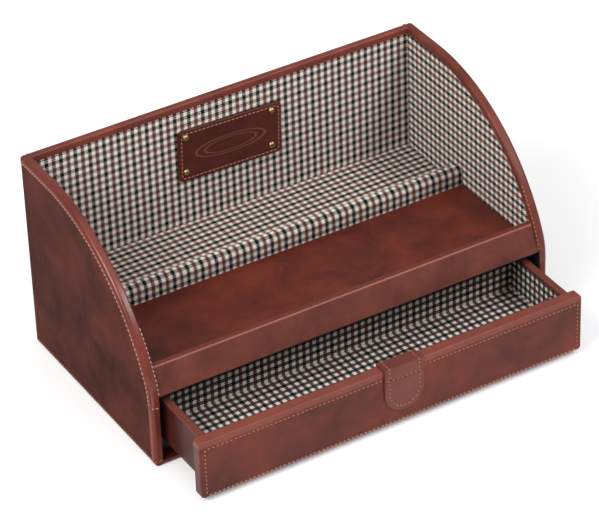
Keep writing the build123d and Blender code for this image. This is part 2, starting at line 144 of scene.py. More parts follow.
# The hide's patterns, in waves or cells a metre, and how much each of them counts
cloud_scale, mottle_scale, pore_scale, crease_scale, wave_scale = 28.0, 240.0, 1500.0, 420.0, 70.0
patch_share, speck_share, pore_share, wave_share, gloss_change = 0.8, 0.4, 0.35, 3.0, 0.35


def build_hide_group():
    """Antique leather: cloudy colour over the hide, fine pores and soft creases."""
    group, start, end = new_group(
        "antique_hide",
        [("Dark", "NodeSocketColor", white), ("Light", "NodeSocketColor", white),
         ("Gloss", "NodeSocketFloat", 0.4)],
        [("Color", "NodeSocketColor"), ("Roughness", "NodeSocketFloat"), ("Height", "NodeSocketFloat")],
    )
    place = object_place(group)
    clouds = cloudy(group, place, {"Scale": cloud_scale, "Detail": 4.0, "Roughness": 0.62, "Distortion": 0.35})
    mottle = cloudy(group, place, {"Scale": mottle_scale, "Detail": 5.0, "Roughness": 0.6})
    spread = node(group, "ShaderNodeMapRange", {"From Min": 0.34, "From Max": 0.68})
    join(group, clouds, spread.inputs[0])
    patches = maths(group, "MULTIPLY", spread.outputs[0], patch_share)
    specks = maths(group, "MULTIPLY", maths(group, "SUBTRACT", mottle, 0.5), speck_share)
    amount = maths(group, "ADD", patches, specks, clamp=True)
    colour = blend_colours(group, amount, start.outputs["Dark"], start.outputs["Light"])
    join(group, colour, end.inputs["Color"])
    pores = node(group, "ShaderNodeTexVoronoi", {"Scale": pore_scale})
    join(group, place, pores.inputs["Vector"])
    creases = cloudy(group, place, {"Scale": crease_scale, "Detail": 3.0})
    grain = maths(group, "ADD", maths(group, "MULTIPLY", pores.outputs[0], pore_share), creases)
    waves = cloudy(group, place, {"Scale": wave_scale, "Detail": 2.0})
    lift = maths(group, "MULTIPLY", waves, wave_share)
    join(group, maths(group, "ADD", grain, lift), end.inputs["Height"])
    rough = maths(group, "ADD", start.outputs["Gloss"], maths(group, "MULTIPLY", specks, gloss_change))
    join(group, rough, end.inputs["Roughness"])
    return group


hide_group = build_hide_group()


def make_leather(name, dark, light, gloss=0.38, shine=0.28, grain=0.00012):
    """Semi-gloss antique leather. Grain is the depth of its pores and creases."""
    material, shader = new_material(name)
    tree = material.node_tree
    hide = node(tree, "ShaderNodeGroup", node_tree=hide_group)
    for label, value in (("Dark", dark), ("Light", light), ("Gloss", gloss)):
        hide.inputs[label].default_value = value
    join(tree, hide.outputs["Color"], shader.inputs["Base Color"])
    join(tree, hide.outputs["Roughness"], shader.inputs["Roughness"])
    raise_surface(tree, shader, hide.outputs["Height"], strength=0.6, depth=grain)
    shader.inputs["Specular IOR Level"].default_value = shine
    return material


# The cloth: one check in metres, its yarns, their shades and their colours
check_width, check_length = 0.00529, 0.00551
yarns_per_check = 12.0
pale_share = 6.0 / yarns_per_check
twill_repeat, yarns_over = 4.0, 2.0
valley_shade, round_shade = 0.75, 0.3
thinnest_yarn, yarn_change = 0.87, 0.3
pale_yarn, dark_yarn, rust_yarn = linear(248, 240, 230), linear(18, 22, 23), linear(104, 54, 44)
# Darker copies of the pale and rust yarns, for cloth that lies in shade: painted shade.
painted_shade_pale_yarn, painted_shade_rust_yarn = linear(232, 224, 214), linear(82, 44, 37)


def build_check_group():
    """A twill gun check: pale ground, with dark and rust bands by turns in both directions.

    Across and Along count checks. Extra Float 1 lets the coloured warp float over one more yarn.
    Mixed Shade darkens where coloured and pale yarns cross, and Warp Lead does so more along the warp.
    """
    group, start, end = new_group(
        "twill_check",
        [("Across", "NodeSocketFloat", 0.0), ("Along", "NodeSocketFloat", 0.0),
         ("Pale", "NodeSocketColor", pale_yarn), ("Dark", "NodeSocketColor", dark_yarn),
         ("Rust", "NodeSocketColor", rust_yarn), ("Extra Float", "NodeSocketFloat", 0.0),
         ("Mixed Shade", "NodeSocketFloat", 0.35), ("Warp Lead", "NodeSocketFloat", 0.0)],
        [("Color", "NodeSocketColor"), ("Height", "NodeSocketFloat")],
    )

    def band_colour(checks):
        """Where the yarns of one direction are coloured, and their colour."""
        coloured = maths(group, "GREATER_THAN", maths(group, "FRACT", checks), pale_share)
        rust_turn = maths(group, "FLOORED_MODULO", maths(group, "FLOOR", checks), 2.0)
        stripe = blend_colours(group, rust_turn, start.outputs["Dark"], start.outputs["Rust"])
        return coloured, blend_colours(group, coloured, start.outputs["Pale"], stripe)

    warp_coloured, warp_colour = band_colour(start.outputs["Across"])
    weft_coloured, weft_colour = band_colour(start.outputs["Along"])
    across = maths(group, "MULTIPLY", start.outputs["Across"], yarns_per_check)
    along = maths(group, "MULTIPLY", start.outputs["Along"], yarns_per_check)
    steps = maths(group, "ADD", maths(group, "FLOOR", across), maths(group, "FLOOR", along))
    extra = maths(group, "MULTIPLY", warp_coloured, start.outputs["Extra Float"])
    floats = maths(group, "ADD", yarns_over, extra)
    warp_on_top = maths(group, "LESS_THAN", maths(group, "FLOORED_MODULO", steps, twill_repeat), floats)
    woven = blend_colours(group, warp_on_top, weft_colour, warp_colour)

    def yarn_round(count):
        """The height of a round yarn, 1 along its middle and 0 at its sides."""
        middle = maths(group, "SUBTRACT", maths(group, "FRACT", count), 0.5)
        fall = maths(group, "MULTIPLY", maths(group, "MULTIPLY", middle, middle), 4.0)
        return maths(group, "SUBTRACT", 1.0, fall)

    warp_round, weft_round = yarn_round(across), yarn_round(along)
    flipped = maths(group, "SUBTRACT", 1.0, warp_on_top)
    height = maths(group, "ADD", maths(group, "MULTIPLY", warp_round, warp_on_top),
                   maths(group, "MULTIPLY", weft_round, flipped))
    shade = maths(group, "ADD", maths(group, "MULTIPLY", height, round_shade), valley_shade)
    mixed = maths(group, "ABSOLUTE", maths(group, "SUBTRACT", warp_coloured, weft_coloured))
    warp_side = maths(group, "SUBTRACT", maths(group, "MULTIPLY", warp_coloured, 2.0), 1.0)
    lead = maths(group, "ADD", maths(group, "MULTIPLY", warp_side, start.outputs["Warp Lead"]), 1.0)
    mixed_shade = maths(group, "MULTIPLY", mixed, start.outputs["Mixed Shade"])
    mixed_shade = maths(group, "MULTIPLY", mixed_shade, lead)
    shade = maths(group, "MULTIPLY", shade, maths(group, "SUBTRACT", 1.0, mixed_shade))
    yarn = node(group, "ShaderNodeCombineXYZ")
    join(group, maths(group, "FLOOR", across), yarn.inputs[0])
    join(group, maths(group, "FLOOR", along), yarn.inputs[1])
    uneven = node(group, "ShaderNodeTexWhiteNoise", noise_dimensions="2D")
    join(group, yarn.outputs[0], uneven.inputs["Vector"])
    thickness = maths(group, "ADD", maths(group, "MULTIPLY", uneven.outputs[0], yarn_change), thinnest_yarn)
    shade = maths(group, "MULTIPLY", shade, thickness)
    join(group, blend_colours(group, 1.0, woven, shade, "MULTIPLY"), end.inputs["Color"])
    join(group, height, end.inputs["Height"])
    return group


check_group = build_check_group()


def make_cloth(name, extra_float=0.0, mixed_shade=0.34, warp_lead=0.0, pale=pale_yarn, rust=rust_yarn):
    """Checked twill. It follows the piece's own weave map, which counts checks across and along the cloth."""
    material, shader = new_material(name)
    tree = material.node_tree
    split = node(tree, "ShaderNodeSeparateXYZ")
    join(tree, node(tree, "ShaderNodeUVMap", uv_map="weave").outputs[0], split.inputs[0])
    check = node(tree, "ShaderNodeGroup", node_tree=check_group)
    for label, value in (("Extra Float", extra_float), ("Mixed Shade", mixed_shade), ("Warp Lead", warp_lead),
                         ("Pale", pale), ("Rust", rust)):
        check.inputs[label].default_value = value
    join(tree, split.outputs[0], check.inputs["Across"])
    join(tree, split.outputs[1], check.inputs["Along"])
    join(tree, check.outputs["Color"], shader.inputs["Base Color"])
    raise_surface(tree, shader, check.outputs["Height"], strength=0.8, depth=0.0002)
    shader.inputs["Roughness"].default_value = 0.95
    shader.inputs["Specular IOR Level"].default_value = 0.1
    return material


def build_grain_group():
    """A fine grain with a little change of tone. Grain counts its waves a metre."""
    group, start, end = new_group(
        "fine_grain",
        [("Dark", "NodeSocketColor", white), ("Light", "NodeSocketColor", white),
         ("Grain", "NodeSocketFloat", 300.0)],
        [("Color", "NodeSocketColor"), ("Height", "NodeSocketFloat")],
    )
    waves = node(group, "ShaderNodeTexNoise", {"Detail": 4.0})
    join(group, object_place(group), waves.inputs["Vector"])
    join(group, start.outputs["Grain"], waves.inputs["Scale"])
    tone = blend_colours(group, waves.outputs[0], start.outputs["Dark"], start.outputs["Light"])
    join(group, tone, end.inputs["Color"])
    join(group, waves.outputs[0], end.inputs["Height"])
    return group


grain_group = build_grain_group()


def make_plain(name, colour, roughness, metallic=0.0, grain=300.0, spread=0.2, height=0.0001):
    """A plain material with a little change of tone and a fine grain."""
    material, shader = new_material(name)
    tree = material.node_tree
    darker = tuple(part * (1 - spread) for part in colour[:3]) + (1.0,)
    lighter = tuple(min(1.0, part * (1 + spread)) for part in colour[:3]) + (1.0,)
    fine = node(tree, "ShaderNodeGroup", node_tree=grain_group)
    for label, value in (("Dark", darker), ("Light", lighter), ("Grain", grain)):
        fine.inputs[label].default_value = value
    join(tree, fine.outputs["Color"], shader.inputs["Base Color"])
    raise_surface(tree, shader, fine.outputs["Height"], strength=0.5, depth=height)
    shader.inputs["Roughness"].default_value = roughness
    shader.inputs["Metallic"].default_value = metallic
    return material


def build_edge_group():
    """A tint where the distance from the middle, along an axis, passes from Start to End.

    Share is how much of it a point has, from 0 to Amount.
    """
    group, start, end = new_group(
        "edge_tint",
        [("Color", "NodeSocketColor", white), ("Tint", "NodeSocketColor", white),
         ("Axis", "NodeSocketVector", (0, 0, 1)), ("Start", "NodeSocketFloat", 0.0),
         ("End", "NodeSocketFloat", 1.0), ("Amount", "NodeSocketFloat", 1.0)],
        [("Color", "NodeSocketColor"), ("Share", "NodeSocketFloat")],
    )
    along = node(group, "ShaderNodeVectorMath", operation="DOT_PRODUCT")
    join(group, object_place(group), along.inputs[0])
    join(group, start.outputs["Axis"], along.inputs[1])
    ramp = node(group, "ShaderNodeMapRange")
    join(group, maths(group, "ABSOLUTE", along.outputs["Value"]), ramp.inputs[0])
    for label, limit in (("Start", "From Min"), ("End", "From Max"), ("Amount", "To Max")):
        join(group, start.outputs[label], ramp.inputs[limit])
    tinted = blend_colours(group, ramp.outputs[0], start.outputs["Color"], start.outputs["Tint"])
    join(group, tinted, end.inputs["Color"])
    join(group, ramp.outputs[0], end.inputs["Share"])
    return group


edge_group = build_edge_group()
sideways_axis, upward_axis = (1, 0, 0), (0, 0, 1)


def place_edge(tree, axis, limits, amount):
    """The edge group in a material, between two distances from the middle."""
    edge = node(tree, "ShaderNodeGroup", node_tree=edge_group)
    for label, value in (("Axis", axis), ("Start", limits[0]), ("End", limits[1]), ("Amount", amount)):
        edge.inputs[label].default_value = value
    return edge


def tint_beyond(material, axis, limits, colour, amount):
    """Tints a material where its distance from the middle, along an axis, passes the limits."""
    tree = material.node_tree
    base = tree.nodes["Principled BSDF"].inputs["Base Color"]
    edge = place_edge(tree, axis, limits, amount)
    edge.inputs["Tint"].default_value = colour
    join(tree, base.links[0].from_socket, edge.inputs["Color"])
    join(tree, edge.outputs["Color"], base)
    return material


def polish_within(material, axis, limits, weight, roughness):
    """Gives a material a wax coat that ends where its distance from the middle passes the limits."""
    tree = material.node_tree
    shader = tree.nodes["Principled BSDF"]
    edge = place_edge(tree, axis, limits, weight)
    join(tree, maths(tree, "SUBTRACT", weight, edge.outputs["Share"]), shader.inputs["Coat Weight"])
    shader.inputs["Coat Roughness"].default_value = roughness


def tool_ovals(material, middle, tilt, half_size, rings, colour):
    """Presses oval lines into a material that lies upright in XZ, as a heated hand tool does."""
    tree = material.node_tree
    shader = tree.nodes["Principled BSDF"]
    offset = node(tree, "ShaderNodeVectorMath", operation="SUBTRACT")
    offset.inputs[1].default_value = middle
    join(tree, object_place(tree), offset.inputs[0])
    level = node(tree, "ShaderNodeVectorRotate", {"Angle": tilt}, rotation_type="Y_AXIS")
    join(tree, offset.outputs[0], level.inputs["Vector"])
    split = node(tree, "ShaderNodeSeparateXYZ")
    join(tree, level.outputs[0], split.inputs[0])
    across = maths(tree, "DIVIDE", split.outputs[0], half_size[0])
    upward = maths(tree, "DIVIDE", split.outputs[2], half_size[1])
    across_square = maths(tree, "MULTIPLY", across, across)
    upward_square = maths(tree, "MULTIPLY", upward, upward)
    reach = maths(tree, "SQRT", maths(tree, "ADD", across_square, upward_square))
    marks = []
    for ring, line in rings:
        apart = maths(tree, "ABSOLUTE", maths(tree, "SUBTRACT", reach, ring))
        marks.append(maths(tree, "SUBTRACT", 1.0, maths(tree, "DIVIDE", apart, line), clamp=True))
    pressed = maths(tree, "MAXIMUM", *marks)
    hide_colour = shader.inputs["Base Color"].links[0].from_socket
    amount = maths(tree, "MULTIPLY", pressed, 0.55)
    join(tree, blend_colours(tree, amount, hide_colour, colour), shader.inputs["Base Color"])
    dent = node(tree, "ShaderNodeBump", {"Strength": 0.7, "Distance": 0.0003}, invert=True)
    join(tree, shader.inputs["Normal"].links[0].from_socket, dent.inputs["Normal"])
    join(tree, pressed, dent.inputs["Height"])
    join(tree, dent.outputs[0], shader.inputs["Normal"])


# Where each tint goes from none to full, in metres from the middle: painted highlights along the rail's top
# edge, the strips' outer corners and the drawer's top edges, the platform's leather colour again on the rail's
# top face, painted shade on the bindings' outer faces, and where the binding's wax coat ends
rail_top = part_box("front_rail_leather")[1].z
rail_edge_highlight = (rail_top - 0.0014, rail_top - 0.0008)
rail_top_face = (rail_top - 0.0004, rail_top - 0.0001)
binding_outer_face_shade = (0.1487, 0.1496)
binding_wax_end = (0.149, 0.1497)
strip_corner_highlight = (0.1478, 0.1492)
drawer_front_highlight = (0.0418, 0.0445)
drawer_side_highlight = (0.0435, 0.0452)
binding_grain = 0.00007

body_leather = make_leather("body_leather", linear(74, 27, 20), linear(114, 46, 31))
# The rail's leather is a lighter, greyer copy of the body leather: its lighter tone is partly painted sheen. A
# pale band along its top edge is a painted highlight, and the rail's top face behind it is tinted back to the
# platform's leather colour.
rail_leather = make_leather("rail_leather", linear(85, 39, 31), linear(120, 60, 48), gloss=0.34, shine=0.32)
tint_beyond(rail_leather, upward_axis, rail_edge_highlight, linear(190, 108, 92), amount=0.44)
tint_beyond(rail_leather, upward_axis, rail_top_face, linear(88, 38, 30), amount=0.9)
# A darker copy of the leather, with almost no shine, for the cabinet's outer sides: painted shade.
side_leather = make_leather("side_leather", linear(53, 24, 19), linear(92, 43, 35), gloss=0.44, shine=0.015)
binding_leather = make_leather("binding_leather", linear(86, 31, 23), linear(124, 51, 37),
                               gloss=0.32, shine=0.1, grain=binding_grain)
# The binding's outer face is tinted darker and greyer than its top: painted shade.
tint_beyond(binding_leather, sideways_axis, binding_outer_face_shade, linear(96, 42, 33), amount=0.5)
polish_within(binding_leather, sideways_axis, binding_wax_end, weight=0.8, roughness=0.26)
arc_leather = make_leather("arc_leather", linear(90, 40, 32), linear(126, 62, 50),
                           gloss=0.4, shine=0.25, grain=binding_grain)
# The right binding's outer face is tinted darker than its top: painted shade.
tint_beyond(arc_leather, sideways_axis, binding_outer_face_shade, linear(76, 32, 26), amount=0.7)
# A lighter, rougher copy of the binding leather for the back's top binding: its lighter tone is partly a
# painted highlight.
top_leather_with_painted_highlight = make_leather("top_leather_with_painted_highlight", linear(98, 44, 36), linear(138, 68, 55),
                           gloss=0.42, shine=0.25, grain=binding_grain)
strip_leather = make_leather("strip_leather", linear(84, 32, 24), linear(120, 54, 41), gloss=0.38, shine=0.14)
# A lighter band on the front strips' rounded outer corners: a painted highlight.
tint_beyond(strip_leather, sideways_axis, strip_corner_highlight, linear(122, 62, 46), amount=0.4)
front_leather = make_leather("front_leather", linear(74, 26, 19), linear(114, 45, 30), shine=0.22)
# A pale band along the top edge of the drawer's front: a painted highlight.
tint_beyond(front_leather, upward_axis, drawer_front_highlight, linear(150, 84, 72), amount=0.42)
# A darker copy of the leather for the drawer's sides and back, which lie in the shade of the opening: painted
# shade. A lighter band along their top rims is a painted highlight.
drawer_side_leather_painted_light = make_leather("drawer_side_leather_painted_light", linear(54, 23, 19), linear(82, 35, 29),
                                   gloss=0.36, shine=0.12)
tint_beyond(drawer_side_leather_painted_light, upward_axis, drawer_side_highlight, linear(130, 74, 62), amount=0.5)
tab_leather = make_leather("tab_leather", linear(88, 40, 33), linear(114, 56, 46), gloss=0.38)
plate_leather = make_leather("plate_leather", linear(66, 27, 21), linear(96, 43, 33), gloss=0.42)
checked_cloth = make_cloth("checked_cloth", warp_lead=0.5)
lengthwise_cloth = make_cloth("lengthwise_cloth", extra_float=1.0, mixed_shade=0.2)
# Darker copies of the cloth for the ledge and ridge and for the drawer: painted shade.
ledge_cloth_painted_shade = make_cloth("ledge_cloth_painted_shade", extra_float=1.0, mixed_shade=0.3, pale=painted_shade_pale_yarn)
drawer_cloth_painted_shade = make_cloth("drawer_cloth_painted_shade", mixed_shade=0.74, pale=painted_shade_pale_yarn, rust=painted_shade_rust_yarn)
# The boards and runners get dark colours; they show only in the gaps round the drawer.
dark_board = make_plain("dark_board", linear(34, 30, 28), roughness=0.7)
runner_wood = make_plain("runner_wood", linear(46, 34, 28), roughness=0.6, grain=120.0)
pressed_felt = make_plain("pressed_felt", linear(30, 30, 32), roughness=0.95, grain=900.0)
polished_brass = make_plain("polished_brass", linear(196, 172, 116), roughness=0.3, metallic=1.0, spread=0.08)
black_rubber = make_plain("black_rubber", linear(24, 24, 25), roughness=0.6)


def make_thread(name, colour):
    """Waxed linen thread."""
    return make_plain(name, colour, roughness=0.6, grain=2600.0, spread=0.35, height=0.00008)


tan_thread = make_thread("tan_thread", linear(164, 98, 60))
pale_thread = make_thread("pale_thread", linear(192, 136, 116))
# Pale and rose threads for the inner rows; beyond the stitches they stand partly for the highlight along the
# inner edges: painted highlight.
pale_stitch_and_highlight_thread = make_thread("pale_stitch_and_highlight_thread", linear(196, 152, 122))
rose_stitch_and_highlight_thread = make_thread("rose_stitch_and_highlight_thread", linear(158, 104, 92))
plate_thread = make_thread("plate_thread", linear(178, 112, 88))
foot_thread = make_thread("foot_thread", linear(180, 122, 104))
needle_hole_shade = make_plain("needle_hole_shade", linear(34, 14, 10), roughness=0.9)

finishes = {
    "body_leather": body_leather,
    "binding_leather": binding_leather,
    "tab_leather": tab_leather,
    "checked_cloth": checked_cloth,
    "board": dark_board,
    "runner_wood": runner_wood,
    "felt": pressed_felt,
    "stud_brass": polished_brass,
    "grommet_rubber": black_rubber,
}

slots = {entry["node"]: entry["material_slot"] for entry in frame["record"]["subparts"]}
bodies = {name: body for body, names in frame["record"]["behaviour"]["bodies"].items() for name in names}

for name, slot in slots.items():
    piece = nodes[name]
    piece.data.materials.clear()
    piece.data.materials.append(finishes[slot])


# Leather and cloth skins
merge_distance = 0.000002
flat_angle, sharp_angle, smooth_angle = radians(0.6), radians(30), radians(38)


def select_only(*objects):
    """Selects these objects and no others, and makes the first one active."""
    bpy.ops.object.select_all(action="DESELECT")
    for each in objects:
        each.select_set(True)
    bpy.context.view_layer.objects.active = objects[0]


def finish_with(piece, kind, **settings):
    """Adds a modifier to a piece and applies it."""
    select_only(piece)
    modifier = piece.modifiers.new(kind.title(), kind)
    for key, value in settings.items():
        setattr(modifier, key, value)
    bpy.ops.object.modifier_apply(modifier=modifier.name)


def cover(name, finish, edge=0.28):
    """A skin in the shape of a CAD piece and in its place, its cut edges rounded over by edge millimetres."""
    skin = bpy.data.objects.new(name + "_skin", nodes[name].data.copy())
    bpy.context.collection.objects.link(skin)
    select_only(skin)
    bpy.ops.object.mode_set(mode="EDIT")
    bpy.ops.mesh.select_all(action="SELECT")
    bpy.ops.mesh.remove_doubles(threshold=merge_distance)
    bpy.ops.mesh.dissolve_limited(angle_limit=flat_angle)
    bpy.ops.object.mode_set(mode="OBJECT")
    finish_with(skin, "BEVEL", width=edge * mm, segments=2, limit_method="ANGLE", angle_limit=sharp_angle)
    bpy.ops.object.shade_smooth_by_angle(angle=smooth_angle)
    finish_with(skin, "WEIGHTED_NORMAL", keep_sharp=True)
    skin.data.materials.clear()
    skin.data.materials.append(finish)
    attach(skin, bodies[name])
    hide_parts(name)
    return skin


for name, finish in (
    ("left_edge_binding", binding_leather),
    ("back_leather", body_leather),
    ("base_edge_leather", body_leather),
    ("platform_leather", body_leather),
    ("pull_tab_strap", tab_leather),
    ("pull_tab", tab_leather),
    ("right_edge_binding", arc_leather),
    ("back_top_binding", top_leather_with_painted_highlight),
    ("left_front_strip", strip_leather),
    ("right_front_strip", strip_leather),
    ("front_rail_leather", rail_leather),
    ("drawer_front_leather", front_leather),
    ("drawer_left_leather", drawer_side_leather_painted_light),
    ("drawer_right_leather", drawer_side_leather_painted_light),
    ("drawer_back_leather", drawer_side_leather_painted_light),
):
    cover(name, finish)

# The side leathers are set in a little, so that the bindings and strips stand proud of them
side_step = 0.25
for name, inward in (("left_side_leather", side_step), ("right_side_leather", -side_step)):
    skin = cover(name, side_leather)
    select_only(skin)
    bpy.ops.object.mode_set(mode="EDIT")
    bpy.ops.mesh.select_all(action="SELECT")
    bpy.ops.transform.translate(value=(inward * mm, 0, 0))
    bpy.ops.object.mode_set(mode="OBJECT")

plate_low, plate_high = (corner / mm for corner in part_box("nameplate"))
plate_middle = Vector(((plate_low.x + plate_high.x) / 2, plate_low.y, (plate_low.z + plate_high.z) / 2))
plate_tilt = radians(-1.7)
# The outer oval's half size in metres, and each line's place and half width as shares of it
oval_half_size = (0.0265, 0.0068)
oval_lines = ((1.0, 0.06), (0.74, 0.05))
tool_ovals(plate_leather, plate_middle * mm, plate_tilt, oval_half_size, oval_lines, linear(150, 92, 76))
cover("nameplate", plate_leather)
cover("nameplate_studs", polished_brass, edge=0.15)

# The faces of the ridge's cover, in metres
ridge_front_y, ridge_back_y, ridge_top_z = 0.0094, 0.019, 0.0703


def over_the_ridge(point):
    """Distance along the ridge's cover, from the tray's floor up its front and down its back."""
    radius = (ridge_back_y - ridge_front_y) / 2
    middle_y, middle_z = ridge_front_y + radius, ridge_top_z - radius
    if point.z > middle_z:
        return middle_z + radius * atan2(point.z - middle_z, middle_y - point.y)
    return point.z if point.y < middle_y else 2 * middle_z + radius * pi - point.z


def map_weave(lining, across, along):
    """Gives a lining its weave map. Across and along turn a point into metres of cloth."""
    weave = lining.data.uv_layers.new(name="weave")
    for corner in lining.data.loops:
        point = lining.data.vertices[corner.vertex_index].co
        weave.data[corner.index].uv = (across(point) / check_width, along(point) / check_length)


def stretch_lining(name, across, along, cloth):
    """Checked cloth stretched over a board and glued down."""
    lining = cover(name, cloth, edge=0.3)
    map_weave(lining, across, along)


def sideways(point):
    return point.x


def inwards(point):
    return point.y


def upwards(point):
    return point.z


for name, board, across, along, cloth in (
    ("back_lining", "back_board", sideways, upwards, checked_cloth),
    ("left_side_lining", "left_side_board", upwards, inwards, lengthwise_cloth),
    ("right_side_lining", "right_side_board", upwards, inwards, lengthwise_cloth),
    ("ledge_lining", "deck_board", inwards, sideways, ledge_cloth_painted_shade),
    ("ridge_cover", "ridge_bar", sideways, over_the_ridge, ledge_cloth_painted_shade),
    ("drawer_floor_lining", "drawer_bottom_board", sideways, inwards, drawer_cloth_painted_shade),
    ("drawer_left_lining", "drawer_left_board", inwards, upwards, drawer_cloth_painted_shade),
    ("drawer_right_lining", "drawer_right_board", inwards, upwards, drawer_cloth_painted_shade),
    ("drawer_back_lining", "drawer_back_board", sideways, upwards, drawer_cloth_painted_shade),
    ("drawer_front_lining", "drawer_front_board", sideways, upwards, drawer_cloth_painted_shade),
):
    stretch_lining(name, across, along, cloth)


# Stitching, in millimetres. A thread's end bends down in steps of (reach, dip, taper).
thread_radius, thread_straight = 0.34, 1.0
thread_ends = ((0.4, 0.08, 0.8), (0.22, 0.3, 0.5))
hole_radius, hole_thickness, hole_reach = 0.38, 0.1, 1.55
thread_lift = 0.1
stitch_slant = radians(7)
stitch_pitch = 3.2
inner_pitch = 3.0


def model_stitch():
    """One saddle stitch at the origin, along X: a round thread whose ends dip into their holes, and a dark
    disc of painted shade in one hole.
    """
    bpy.ops.object.select_all(action="DESELECT")
    bpy.ops.mesh.primitive_cylinder_add(vertices=8, radius=thread_radius * mm, depth=thread_straight * mm,
                                        rotation=(0, pi / 2, 0))
    bpy.ops.object.transform_apply(location=True, rotation=True, scale=True)
    thread = bpy.context.object
    thread.name = "stitch"
    bpy.ops.object.mode_set(mode="EDIT")
    bpy.ops.mesh.select_mode(type="FACE")
    for side in (-1, 1):
        for reach, dip, taper in thread_ends:
            cap = bmesh.from_edit_mesh(thread.data)
            outermost = max(face.calc_center_median().x * side for face in cap.faces)
            for face in cap.faces:
                face.select_set(face.calc_center_median().x * side > outermost - merge_distance)
            bmesh.update_edit_mesh(thread.data)
            step = (side * reach * mm, 0, -dip * mm)
            bpy.ops.mesh.extrude_region_move(TRANSFORM_OT_translate={"value": step})
            cap = bmesh.from_edit_mesh(thread.data)
            middle = [face for face in cap.faces if face.select][0].calc_center_median()
            bpy.ops.transform.resize(value=(taper, taper, taper), center_override=middle)
    bpy.ops.object.mode_set(mode="OBJECT")
    bpy.ops.object.shade_smooth_by_angle(angle=radians(60))
    thread.data.materials.append(tan_thread)
    # A dark disc where the thread enters the leather: painted shade in the needle hole.
    bpy.ops.mesh.primitive_cylinder_add(vertices=8, radius=hole_radius * mm, depth=hole_thickness * mm,
                                        location=(hole_reach * mm, 0, -thread_lift * mm))
    bpy.ops.object.transform_apply(location=True, rotation=True, scale=True)
    hole = bpy.context.object
    hole.data.materials.append(needle_hole_shade)
    select_only(thread, hole)
    bpy.ops.object.join()
    return thread


stitch = model_stitch()


def sew(name, path, body, pitch=stitch_pitch, closed=False, thread=tan_thread):
    """A row of stitches, as one piece, along a path of (point, outward direction) in millimetres."""
    path = [(Vector(point), Vector(outward)) for point, outward in path]
    if closed:
        path.append(path[0])
    runs = [(end[0] - start[0]).length for start, end in zip(path, path[1:])]
    count = round(sum(runs) / pitch)
    copies = []
    for number in range(count):
        travel = (number + 0.5) * sum(runs) / count
        run = 0
        while travel > runs[run]:
            travel -= runs[run]
            run += 1
        (start, start_out), (end, end_out) = path[run], path[run + 1]
        share = travel / runs[run]
        along = (end - start).normalized()
        outward = start_out.lerp(end_out, share)
        outward = (outward - along * outward.dot(along)).normalized()
        place = Matrix((along, outward.cross(along), outward)).transposed().to_4x4()
        place.translation = (start.lerp(end, share) + outward * thread_lift) * mm
        copy = stitch.copy()
        copy.data = stitch.data.copy()
        copy.data.transform(place @ Matrix.Rotation(stitch_slant, 4, "Z"))
        bpy.context.collection.objects.link(copy)
        copies.append(copy)
    select_only(*copies)
    bpy.ops.object.join()
    row = bpy.context.object
    row.name = name
    row.data.materials[0] = thread
    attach(row, body)


# The cabinet's outline, and the rows that are sewn on it
half_width, height, back_y, front_y = 150.0, 147.5, 82.0, -82.0
arc_y, arc_z, arc_radius = 46.6, 11.5, 136.0
foot_y, foot_z, foot_radius = -37.0, 47.445, 45.0
blend_angle = atan2(foot_z - arc_z, foot_y - arc_y)


def side_edge(inset):
    """Points (Y, Z) along the top, the arc and the foot of a side, set in from its edge."""
    points = [(back_y - 1, height - inset), (arc_y, height - inset)]
    for y, z, radius, first, last, steps in (
        (arc_y, arc_z, arc_radius - inset, pi / 2, blend_angle, 60),
        (foot_y, foot_z, foot_radius - inset, blend_angle, pi, 12),
    ):
        for step in range(1, steps + 1):
            angle = first + (last - first) * step / steps
            points.append((y + radius * cos(angle), z + radius * sin(angle)))
    return points


binding_row_inset = 4.2
binding_row_ends = (45.9, 45.6, 45.4)
foot_row_z = 3.6
foot_row_ends = (foot_row_z, foot_row_z + 0.2, foot_row_z + 0.8)
side_leather_x = half_width - side_step
strip_inner_x = 144.7
strip_outer_x = half_width - 0.1
strip_middle_y, strip_back_y, foot_row_back_y = front_y + 3, front_y + 6, back_y - 3
corner_round, corner_middle = 2.6, 0.9
inner_row_x, inner_row_inset = half_width - 6.05, 0.55
inner_row_low, inner_row_high = 52, 96
back_row_x = half_width - 4


def round_strip_corner(side, rises):
    """Three points of a row, from a side's outer face round its front corner to the strip's inner edge."""
    return [
        ((side * (half_width - corner_middle), front_y + corner_middle, rises[0]), (side, -1, 0)),
        ((side * (half_width - corner_round), front_y, rises[1]), (0, -1, 0)),
        ((side * strip_inner_x, front_y, rises[2]), (0, -1, 0)),
    ]


for side, word in ((-1, "left"), (1, "right")):
    outward = (side, 0, 0)
    edge_row = [((side * half_width, y, z), outward) for y, z in side_edge(binding_row_inset)]
    if word == "left":
        edge_row += round_strip_corner(side, binding_row_ends)
    sew(word + "_binding_stitches", edge_row, "cabinet", thread=pale_thread)
    foot_row = round_strip_corner(side, foot_row_ends)[::-1]
    foot_row += [
        ((side * strip_outer_x, strip_middle_y, foot_row_z), outward),
        ((side * side_leather_x, strip_back_y, foot_row_z), outward),
        ((side * side_leather_x, foot_row_back_y, foot_row_z), outward),
    ]
    sew(word + "_side_foot_stitches", foot_row, "cabinet")
    # Rows along the bindings' inner edges, from 52 to 96 mm up. Their thread stands partly for the highlight
    # along those edges: painted highlight.
    inner_row = [
        ((side * inner_row_x, y, z), (-side, (y - arc_y) / arc_radius, (z - arc_z) / arc_radius))
        for y, z in side_edge(inner_row_inset) if inner_row_low < z < inner_row_high
    ]
    inner_stitch_and_highlight_thread = pale_stitch_and_highlight_thread if word == "left" else rose_stitch_and_highlight_thread
    sew(word + "_inner_binding_stitches", inner_row, "cabinet", pitch=inner_pitch,
        thread=inner_stitch_and_highlight_thread)

